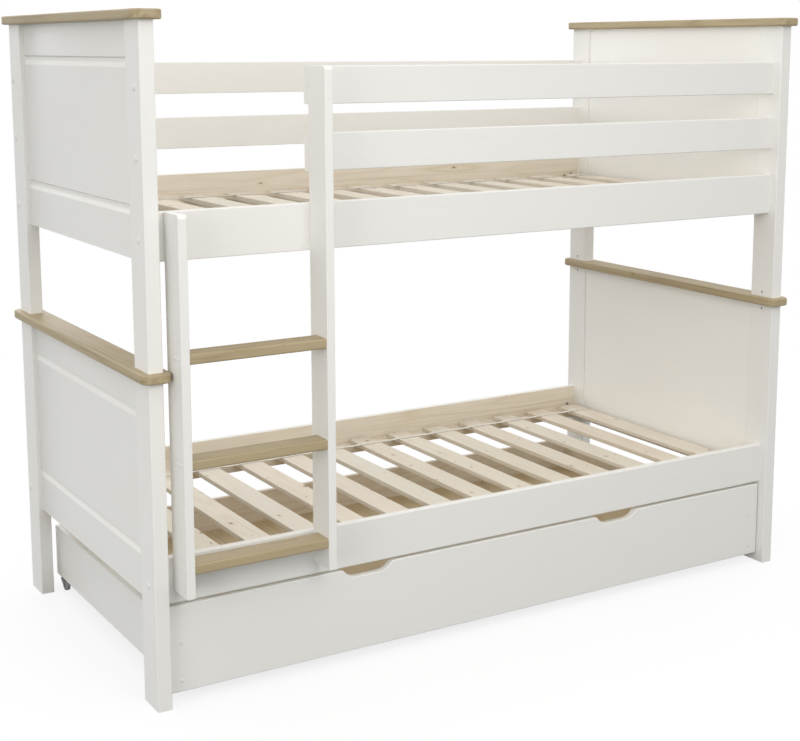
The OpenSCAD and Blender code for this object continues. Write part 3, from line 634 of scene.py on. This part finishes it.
class BUNKBED_OT_painted_boards(bpy.types.Operator):
    """Paint posts, ladder uprights and guard rails"""

    bl_idname = "bunkbed.painted_boards"
    bl_label = "Painted Boards"

    def execute(self, context):
        upright = white_paint("white_paint_upright", "ZYX")
        lengthwise = white_paint("white_paint_lengthwise", "XZY")
        posts = [n for n in NODES if "_post_" in n]
        coat(upright, *posts, "ladder_upright_left", "ladder_upright_right")
        coat(lengthwise, *[n for n in NODES if n.startswith("guard_")])
        return {"FINISHED"}


class BUNKBED_OT_side_rails(bpy.types.Operator):
    """Paint the side rails outside and leave their inner faces bare"""

    bl_idname = "bunkbed.side_rails"
    bl_label = "Side Rails"

    def execute(self, context):
        front_inner = corners("lower_rail_front")[1][1]
        rear_inner = corners("lower_rail_rear")[0][1]
        front = half_painted("rail_front_finish", "XZY", "Y", front_inner, 1.0)
        rear = half_painted("rail_rear_finish", "XZY", "Y", rear_inner, -1.0)
        coat(front, "lower_rail_front", "upper_rail_front")
        coat(rear, "lower_rail_rear", "upper_rail_rear")
        return {"FINISHED"}


class BUNKBED_OT_end_panels(bpy.types.Operator):
    """Build the grooved end panels with softened arrises"""

    bl_idname = "bunkbed.end_panels"
    bl_label = "End Panels"

    def execute(self, context):
        paint = white_paint("white_paint_panel", "YZX")
        for storey in ("lower", "upper"):
            for hand, sign in (("left", -1), ("right", 1)):
                self.build(context.scene.bed_sizes, f"{storey}_panel_{hand}", sign, paint)
        return {"FINISHED"}

    def build(self, sizes, node, sign, paint):
        """The section, as depth and height, is carried along Y. Depth runs from the outer face inwards.
        Next to the posts both faces draw in by the joint's chamfer, as the depth is clipped to it."""
        low, high = corners(node)
        depth, height = high[0] - low[0], high[2] - low[2]
        deep, tall, flat = sizes.groove_depth, sizes.groove_height, sizes.groove_flat
        shoulders = (height - sizes.groove_top, sizes.groove_foot)
        section = [(0, height)]
        cuts = [0.6 * MM]
        for z in shoulders:
            section += [(0, z), (deep, z - sizes.groove_slope), (deep, z - flat), (0, z - tall)]
            cuts += [0.7 * MM, 0.8 * MM, 1.6 * MM, 1.6 * MM]
        section += [(0, 0), (depth, 0), (depth, height)]
        cuts += [0.6 * MM] * 3
        loop = soft_loop(section, cuts)
        joint = sizes.panel_joint
        draw_in = np.array([joint, 0.35 * joint, 0, 0, 0.35 * joint, joint])[:, None]
        ys = np.array([low[1], low[1] + 0.55 * joint, low[1] + 1.5 * joint])
        ys = np.concatenate([ys, high[1] + low[1] - ys[::-1]])
        outer = low[0] if sign < 0 else high[0]
        xs = outer - sign * np.clip(loop[None, :, 0], draw_in, depth - draw_in)
        points = np.stack(np.broadcast_arrays(xs, ys[:, None], low[2] + loop[None, :, 1]), axis=-1)
        if sign > 0:
            points = points[::-1]
        faces = closed_faces(points)
        make_piece(f"{node}_board", points, faces, paint, "bed", [node], sharp=50)


class BUNKBED_OT_caps_and_treads(bpy.types.Operator):
    """Stain the caps and the ladder's treads"""

    bl_idname = "bunkbed.caps_and_treads"
    bl_label = "Caps and Treads"

    def execute(self, context):
        caps = [n for n in NODES if "_cap_" in n]
        for number, node in enumerate(caps):
            coat(stained_pine(f"stone_stain_cap_{number}", "YXZ", 2.3 * number), node)
        for number, node in enumerate(["tread_low", "tread_middle", "tread_high"]):
            coat(stained_pine(f"stone_stain_tread_{number}", "XYZ", 5.1 + 1.7 * number), node)
        return {"FINISHED"}


class BUNKBED_OT_slats(bpy.types.Operator):
    """Build the slats of both beds, each slightly bowed and with its own knots"""

    bl_idname = "bunkbed.slats"
    bl_label = "Slats"

    def execute(self, context):
        pine = bare_pine("bare_pine_slats", "YXZ", slat_tint, 0.6)
        for storey in ("lower", "upper"):
            self.build_bed(context.scene.bed_sizes, storey, pine)
        coat(bare_pine("bare_pine_ledgers", "XZY", None, 0.3), "slat_ledgers")
        return {"FINISHED"}

    def build_bed(self, sizes, storey, pine):
        """One board to a slat, at an even pitch between the first and the last."""
        node = f"{storey}_slats"
        low, high = corners(node)
        width, count, edge = sizes.slat_width, sizes.slat_count, sizes.edge
        thickness = high[2] - low[2]
        pitch = slat_pitch(low, high, sizes)
        random = np.random.default_rng(SLAT_SEEDS[storey])
        bows = random.uniform(-1, 1, (count, 2)) * sizes.slat_bow
        for number in range(count):
            left = low[0] + number * pitch
            piece = self.board(left, low, high, width, thickness, edge, bows[number])
            faces = closed_faces(piece)
            make_piece(f"{storey}_slat_{number + 1:02d}", piece, faces, pine, "bed", [node])

    def board(self, left, low, high, width, thickness, edge, bow):
        """A rounded section is carried along Y. It draws in over the last edge width at both ends as a
        quarter circle does, and drifts sideways and down as half a sine wave."""
        turn = np.linspace(0, math.pi / 2, 5)
        ends = edge * (1 - np.cos(turn))
        middle = np.linspace(0.02, 0.98, 9) * (high[1] - low[1])
        stations = np.concatenate([ends, middle, (high[1] - low[1]) - ends[::-1]])
        inset = np.concatenate([edge * (1 - np.sin(turn)), np.zeros(9), edge * (1 - np.sin(turn))[::-1]])
        box = [(0, 0), (width, 0), (width, thickness), (0, thickness)]
        loop = soft_loop(box, edge, 4)
        centre = np.array([width / 2, thickness / 2])
        shrink = 1 - 2 * inset[:, None] / np.array([width, thickness])[None]
        section = centre + (loop[None] - centre) * shrink[:, None]
        wave = np.sin(math.pi * stations / stations[-1])
        x = left + section[..., 0] + (wave * bow[0])[:, None]
        z = low[2] + section[..., 1] - (wave * abs(bow[1]))[:, None]
        y = np.broadcast_to((low[1] + stations)[:, None], x.shape)
        return np.stack([x, y, z], axis=-1)[::-1]


class BUNKBED_OT_straps(bpy.types.Operator):
    """Lay the webbing over the slats and staple it down"""

    bl_idname = "bunkbed.straps"
    bl_label = "Straps"

    def execute(self, context):
        finishes = context.scene.bed_finishes
        sizes = context.scene.bed_sizes
        tape = woven_tape("woven_tape", finishes.webbing)
        wire = zinc_steel("staple_wire", finishes.steel, 0.25)
        low, high = corners("slat_straps")
        width, spare = sizes.strap_width, (STRAP_SPACE - sizes.strap_width) / 2
        for storey in ("lower", "upper"):
            slat_low, slat_high = corners(f"{storey}_slats")
            for side, y in (("front", low[1] + spare), ("rear", high[1] - spare - width)):
                self.strap(sizes, f"{storey}_strap_{side}", slat_low, slat_high, y, width, tape)
                self.staples(sizes, f"{storey}_staples_{side}", slat_low, slat_high, y + width / 2, wire)
        return {"FINISHED"}

    def strap(self, sizes, name, low, high, y, width, tape):
        """A thin rounded section is carried along X. Over each gap its height drops by the sag times the
        squared sine of the way across the gap."""
        count, board = sizes.slat_count, sizes.slat_width
        pitch = slat_pitch(low, high, sizes)
        gap = pitch - board
        cell = np.concatenate([np.linspace(0, board, 4, endpoint=False),
                               np.linspace(board, pitch, 9, endpoint=False)])
        x = (low[0] + np.arange(count)[:, None] * pitch + cell[None]).reshape(-1)
        x = x[x < high[0] - 4 * MM]
        x = np.append(x, high[0] - 2 * MM)
        x[0] += 2 * MM
        way = np.clip(((x - low[0]) % pitch - board) / gap, 0, 1)
        drop = sizes.strap_sag * np.sin(math.pi * way) ** 2
        thick = 1.1 * MM
        loop = soft_loop([(0, 0), (width, 0), (width, thick), (0, thick)], 0.4 * MM, 2, 0.5 * MM)
        ys = y + loop[:, 0]
        zs = high[2] + 0.15 * MM + loop[:, 1]
        points = np.stack(np.broadcast_arrays(x[:, None], ys[None], zs[None] - drop[:, None]), axis=-1)
        faces = closed_faces(points)
        make_piece(name, points, faces, tape, "bed", ["slat_straps"])

    def staples(self, sizes, name, low, high, y, wire):
        """Each staple is a wire bent as a flat U, two to a slat."""
        count, board = sizes.slat_count, sizes.slat_width
        pitch = slat_pitch(low, high, sizes)
        crown, radius = 9 * MM, 0.45 * MM
        top = high[2] + 1.1 * MM + radius
        turn = np.linspace(0, math.pi / 2, 4)
        bend = 1.2 * MM
        left = np.stack([-crown / 2 + bend - bend * np.cos(turn), -bend + bend * np.sin(turn)], axis=1)
        right = left[::-1] * [-1, 1]
        flat = np.concatenate([[[-crown / 2, -2.4 * MM]], left, right, [[crown / 2, -2.4 * MM]]])
        path = np.stack([np.zeros(len(flat)), flat[:, 0], flat[:, 1]], axis=1)
        rings = tube(path, radius, (1.0, 0.0, 0.0))
        apart = 13 * MM
        pair = np.array([board / 2 - apart, board / 2 + apart])
        places = np.arange(count)[:, None] * pitch + pair[None]
        offsets = np.stack(np.broadcast_arrays(low[0] + places.reshape(-1), y, top), axis=-1)
        points = rings[None] + offsets[:, None, None]
        faces = closed_faces(rings, len(offsets))
        make_piece(name, points, faces, wire, "bed")


class BUNKBED_OT_trundle(bpy.types.Operator):
    """Build the trundle's front board with its finger notches and finish the other boards"""

    bl_idname = "bunkbed.trundle"
    bl_label = "Trundle"

    def execute(self, context):
        self.front_board(context.scene.bed_sizes)
        for hand, outwards in (("left", 1.0), ("right", -1.0)):
            node = f"trundle_side_{hand}"
            low, high = corners(node)
            inner = high[0] if hand == "left" else low[0]
            finish = half_painted(f"{node}_finish", "YZX", "X", inner, outwards)
            coat(finish, node)
        coat(bare_pine("trundle_back_finish", "XZY", None, 0.3, 7.7), "trundle_back")
        coat(bare_pine("trundle_bearer_finish", "YXZ", None, 0.3, 3.3), "trundle_bearers")
        coat(base_wood("trundle_base_finish", "YXZ"), "trundle_base")
        return {"FINISHED"}

    def front_board(self, sizes):
        """A plate whose upper edge drops into two notches: a flat floor between two straight slopes, with
        the bowl radius below and the rim radius above."""
        low, high = corners("trundle_front")
        length, height, thickness = high[0] - low[0], high[2] - low[2], high[1] - low[1]
        run = sizes.notch_depth / math.tan(sizes.notch_slope)
        bend = math.tan(sizes.notch_slope / 2)
        bottom = sizes.notch_flat + sizes.notch_bowl * bend
        notch = np.array([(bottom + run, 0), (bottom, -sizes.notch_depth),
                          (-bottom, -sizes.notch_depth), (-bottom - run, 0)])
        outline = [(-length / 2, -height), (length / 2, -height), (length / 2, 0)]
        outline += (notch + [sizes.notch_place, 0]).tolist()
        outline += (notch - [sizes.notch_place, 0]).tolist()
        outline += [(-length / 2, 0)]
        rim, bowl = max(sizes.notch_rim * bend, 3.2 * MM), sizes.notch_bowl * bend
        cuts = [5 * MM] * 3 + [rim, bowl, bowl, rim] * 2 + [5 * MM]
        flat = plate(soft_loop(outline, cuts, 12), thickness, 2 * MM, hold=0.4 * MM)
        middle = (low[0] + high[0]) / 2
        points = np.stack([flat[..., 0] + middle, low[1] + flat[..., 2], high[2] + flat[..., 1]], axis=-1)
        faces = closed_faces(points)
        finish = half_painted("trundle_front_finish", "XZY", "Y", high[1], 1.0)
        make_piece("trundle_front_board", points, faces, finish, "trundle",
                   ["trundle_front"])


class BUNKBED_OT_covers(bpy.types.Operator):
    """Build the domed covers over bolts and screws"""

    bl_idname = "bunkbed.covers"
    bl_label = "Covers"

    def execute(self, context):
        plastic = moulded_plastic("cover_plastic", context.scene.bed_finishes.plastic)
        self.bolt_covers(plastic)
        self.tread_covers(plastic)
        self.trundle_covers(plastic)
        self.nut_plugs(plastic)
        return {"FINISHED"}

    def dome(self, radius, height):
        """A dome whose height falls with the 3.2th power of the radius, on a short rim."""
        share = np.array([0.02, 0.25, 0.5, 0.7, 0.85, 0.94, 0.985, 1.0])
        rise = height * (1 - share ** 3.2) * 0.86 + height * 0.14
        rim = np.array([[radius, height * 0.05], [radius, -0.4 * MM]])
        return lathe(np.concatenate([np.stack([share * radius, rise], axis=1), rim])[::-1])

    def place(self, name, size, centres, directions, plastic, body, nodes):
        """One piece of equal domes, each at its centre and facing along its direction."""
        shape = self.dome(*size)
        copies = np.stack([turn_to(shape, d) + c for c, d in zip(centres, directions)])
        faces = closed_faces(shape, len(copies))
        make_piece(name, copies, faces, plastic, body, nodes)

    def bolt_covers(self, plastic):
        """Covers on the posts' outer faces, in line with the bolts into the rails."""
        rail, guards = corners("upper_rail_rear"), [corners(f"guard_rear_{n}") for n in ("low", "high")]
        lower = corners("lower_rail_front")
        heights = [lower[0][2] + BOLT_UP, rail[0][2] + BOLT_UP]
        heights += [(g[0][2] + g[1][2]) / 2 for g in guards]
        depths = [(lower[0][1] + lower[1][1]) / 2, (rail[0][1] + rail[1][1]) / 2]
        outer = corners("lower_post_lf")[0][0], corners("lower_post_rf")[1][0]
        centres = [(x, y, z) for x in outer for y in depths for z in heights]
        directions = [(math.copysign(1, x), 0, 0) for x, y, z in centres]
        self.place("bolt_cover_domes", BOLT_DOME, centres, directions, plastic, "bed", ["bolt_covers"])

    def tread_covers(self, plastic):
        """Covers on the ladder's uprights, two to each end of a tread."""
        faces = corners("ladder_upright_left")[0][0], corners("ladder_upright_right")[1][0]
        centres = []
        for node in ("tread_low", "tread_middle", "tread_high"):
            low, high = corners(node)
            ys = [low[1] + inwards for inwards in TREAD_SCREWS]
            centres += [(x, y, (low[2] + high[2]) / 2) for x in faces for y in ys]
        directions = [(-1 if x == faces[0] else 1, 0, 0) for x, y, z in centres]
        self.place("tread_cover_domes", SCREW_DOME, centres, directions, plastic, "bed", ["screw_covers"])

    def trundle_covers(self, plastic):
        """Covers on the trundle's front board, over the screws into its side boards."""
        front = corners("trundle_front")[0][1]
        centres = []
        for hand in ("left", "right"):
            low, high = corners(f"trundle_side_{hand}")
            middle = (low[0] + high[0]) / 2
            heights = low[2] + TRUNDLE_SCREWS[0], high[2] - TRUNDLE_SCREWS[1]
            centres += [(middle, front, z) for z in heights]
        self.place("trundle_cover_domes", SCREW_DOME, centres, [(0, -1, 0)] * 4, plastic, "trundle",
                   ["trundle_covers"])

    def nut_plugs(self, plastic):
        """Low plugs over the nut bores in the guard rails' inner faces, near the rails' ends."""
        centres, directions = [], []
        for level in ("low", "high"):
            low, high = corners(f"guard_rear_{level}")
            middle = (low[2] + high[2]) / 2
            centres += [(low[0] + NUT_FROM_END, low[1], middle), (high[0] - NUT_FROM_END, low[1], middle)]
            high = corners(f"guard_front_{level}")[1]
            centres.append((high[0] - NUT_FROM_END, high[1], middle))
            directions += [(0, -1, 0), (0, -1, 0), (0, 1, 0)]
        self.place("guard_nut_plugs", NUT_PLUG, centres, directions, plastic, "bed", ())


class BUNKBED_OT_hardware(bpy.types.Operator):
    """Finish the bolts, nuts, screws, pins and dowels"""

    bl_idname = "bunkbed.hardware"
    bl_label = "Hardware"

    def execute(self, context):
        finishes = context.scene.bed_finishes
        steel = zinc_steel("zinc_steel", finishes.steel)
        dark = zinc_steel("dark_steel", DARK_STEEL, 0.5)
        coat(steel, "rail_bolts", "joining_pins", "tread_screws", "ladder_screws", "trundle_screws")
        coat(dark, "locking_screws", "barrel_nuts")
        coat(bare_pine("bare_pine_dowels", "XZY", None, 0.0), "dowels")
        return {"FINISHED"}


class BUNKBED_OT_castors(bpy.types.Operator):
    """Turn the castor wheels and finish forks and sleeves"""

    bl_idname = "bunkbed.castors"
    bl_label = "Castors"

    def execute(self, context):
        finishes = context.scene.bed_finishes
        grey = moulded_plastic("castor_plastic", finishes.castor, 0.42)
        pale = moulded_plastic("castor_tyre", [1.6 * c for c in finishes.castor], 0.5)
        fork = zinc_steel("castor_fork_steel", FORK_STEEL, 0.42)
        coat(grey, "castor_sleeves")
        for corner in ("lf", "lr", "rf", "rr"):
            coat(fork, f"castor_fork_{corner}")
            self.wheel(corner, pale)
        return {"FINISHED"}

    def wheel(self, corner, tyre):
        """A turned section with a crowned tread, a sunk web and a raised hub, closed round the bore."""
        node = f"castor_wheel_{corner}"
        low, high = corners(node)
        radius, half, bore = (high[2] - low[2]) / 2, (high[0] - low[0]) / 2, 2.05 * MM
        side = [(bore, 0.98), (4.6 * MM, 1.0), (5.1 * MM, 0.94), (5.6 * MM, 0.78), (9.8 * MM, 0.76),
                (10.6 * MM, 0.92), (11.4 * MM, 0.99), (radius - 1.2 * MM, 0.97),
                (radius - 0.5 * MM, 0.86), (radius - 0.1 * MM, 0.62), (radius, 0.3)]
        side = np.array(side)
        profile = np.concatenate([side * [1, half], (side * [1, -half])[::-1]])
        rings = turn_to(lathe(np.vstack([profile, profile[:1]]), 40), (1.0, 0.0, 0.0))
        points = rings[:-1] + (low + high) / 2
        count, sides = points.shape[:2]
        faces = np.array(ring_faces(count + 1, sides)) % (count * sides)
        make_piece(f"castor_tyre_{corner}", points, faces[:, ::-1].tolist(), tyre, f"wheel_{corner}",
                   [node], sharp=55)


class BUNKBED_OT_stage(bpy.types.Operator):
    """Set up the floor, the light and the camera"""

    bl_idname = "bunkbed.stage"
    bl_label = "Studio"

    def execute(self, context):
        studio = context.scene.studio_settings
        self.floor(studio)
        self.world(context.scene, studio)
        middle = (0, 0, 0.85)
        self.softbox("key_softbox", (-4.3, -2.5, 1.3), middle, 2.0, studio.key)
        self.softbox("front_softbox", (-0.5, -3.0, 2.2), middle, 1.5, studio.front, WARM_LIGHT)
        self.softbox("rear_softbox", (-0.5, 3.5, 2.5), middle, 2.0, studio.rear)
        self.softbox("side_softbox", (4.3, 0.8, 1.5), middle, 2.0, studio.side)
        self.camera(context.scene, studio)
        context.scene.view_settings.view_transform = "Standard"
        return {"FINISHED"}

    def floor(self, studio):
        """A large square below the posts. The camera sees it white, with the bed's shadow, and further
        out plain white. The light sees it as a dim matt surface."""
        reach = 30.0
        mesh = bpy.data.meshes.new("floor")
        square = [(-reach, -reach, 0), (reach, -reach, 0), (reach, reach, 0), (-reach, reach, 0)]
        mesh.from_pydata(square, [], [(0, 1, 2, 3)])
        material, tree = new_tree("pale_floor")
        seen = seen_rays(tree)
        tone = blend_colour(tree, seen, [studio.floor_bounce] * 3, [0.92] * 3)
        matt = add(tree, "ShaderNodeBsdfDiffuse", {"Color": tone})
        white = add(tree, "ShaderNodeEmission", {"Color": (1, 1, 1, 1), "Strength": 1.0})
        place = object_place(tree)
        away = add(tree, "ShaderNodeVectorMath", {0: place}, operation="LENGTH").outputs["Value"]
        share = add(tree, "ShaderNodeMix", {0: ramp_between(tree, away, 1.5, 4.0), 2: studio.floor_white,
                                            3: 1.0}).outputs[0]
        share = times(tree, seen, share)
        mixed = add(tree, "ShaderNodeMixShader", {0: share, 1: matt.outputs[0], 2: white.outputs[0]})
        add(tree, "ShaderNodeOutputMaterial", {"Surface": mixed.outputs[0]})
        mesh.materials.append(material)
        show("floor", mesh)

    def world(self, scene, studio):
        """Even light from all round, and plain white where a seeing ray passes the floor."""
        world = bpy.data.worlds.new("studio_world")
        world.use_nodes = True
        tree = world.node_tree
        tree.nodes.clear()
        seen = seen_rays(tree)
        strength = add(tree, "ShaderNodeMix", {0: seen, 2: studio.sky, 3: 1.0}).outputs[0]
        light = add(tree, "ShaderNodeBackground", {"Color": (1, 1, 1, 1), "Strength": strength})
        add(tree, "ShaderNodeOutputWorld", {"Surface": light.outputs[0]})
        scene.world = world

    def softbox(self, name, place, target, size, power, colour=(1.0, 1.0, 1.0)):
        """A square area lamp that faces the target."""
        light = bpy.data.lights.new(name, "AREA")
        light.shape = "SQUARE"
        light.size = size
        light.energy = power
        light.color = colour
        lamp = show(name, light)
        lamp.location = place
        aim = Vector(target) - Vector(place)
        lamp.rotation_euler = aim.to_track_quat("-Z", "Y").to_euler()

    def camera(self, scene, studio):
        """The camera, turned by its yaw and then tilted down by its pitch."""
        lens = bpy.data.cameras.new("camera")
        lens.lens = studio.lens
        lens.sensor_width = 36.0
        lens.shift_x, lens.shift_y = studio.shift
        lens.clip_end = 100.0
        camera = show("camera", lens)
        camera.location = studio.camera_place
        camera.rotation_euler = Euler((math.pi / 2 - studio.camera_pitch, 0, -studio.camera_yaw))
        scene.camera = camera


class BUNKBED_PT_panel(bpy.types.Panel):
    """Lists the steps that dress the bed"""

    bl_idname = "BUNKBED_PT_panel"
    bl_label = "Bunk Bed"
    bl_space_type = "VIEW_3D"
    bl_region_type = "UI"
    bl_category = "Bunk Bed"

    def draw(self, context):
        """A button for each step, and a box for each group of properties."""
        for operator in OPERATORS:
            self.layout.operator(operator.bl_idname)
        for pointer, group in GROUPS.items():
            box = self.layout.box()
            for name in group.__annotations__:
                box.prop(getattr(context.scene, pointer), name)


OPERATORS = (
    BUNKBED_OT_painted_boards,
    BUNKBED_OT_side_rails,
    BUNKBED_OT_end_panels,
    BUNKBED_OT_caps_and_treads,
    BUNKBED_OT_slats,
    BUNKBED_OT_straps,
    BUNKBED_OT_trundle,
    BUNKBED_OT_covers,
    BUNKBED_OT_hardware,
    BUNKBED_OT_castors,
    BUNKBED_OT_stage,
)
GROUPS = {"bed_finishes": BedFinishes, "bed_sizes": BedSizes, "studio_settings": StudioSettings}
CLASSES = (*GROUPS.values(), *OPERATORS, BUNKBED_PT_panel)


def register():
    """Registers every class and hangs the property groups on the scene."""
    for cls in CLASSES:
        bpy.utils.register_class(cls)
    for pointer, group in GROUPS.items():
        setattr(bpy.types.Scene, pointer, PointerProperty(type=group))


def unregister():
    """Takes away what register set up, in the opposite order."""
    for pointer in reversed(GROUPS):
        delattr(bpy.types.Scene, pointer)
    for cls in reversed(CLASSES):
        bpy.utils.unregister_class(cls)


def main():
    """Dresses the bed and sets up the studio."""
    register()
    bpy.ops.bunkbed.painted_boards()
    bpy.ops.bunkbed.side_rails()
    bpy.ops.bunkbed.end_panels()
    bpy.ops.bunkbed.caps_and_treads()
    bpy.ops.bunkbed.slats()
    bpy.ops.bunkbed.straps()
    bpy.ops.bunkbed.trundle()
    bpy.ops.bunkbed.covers()
    bpy.ops.bunkbed.hardware()
    bpy.ops.bunkbed.castors()
    bpy.ops.bunkbed.stage()


if __name__ == "__main__":
    main()
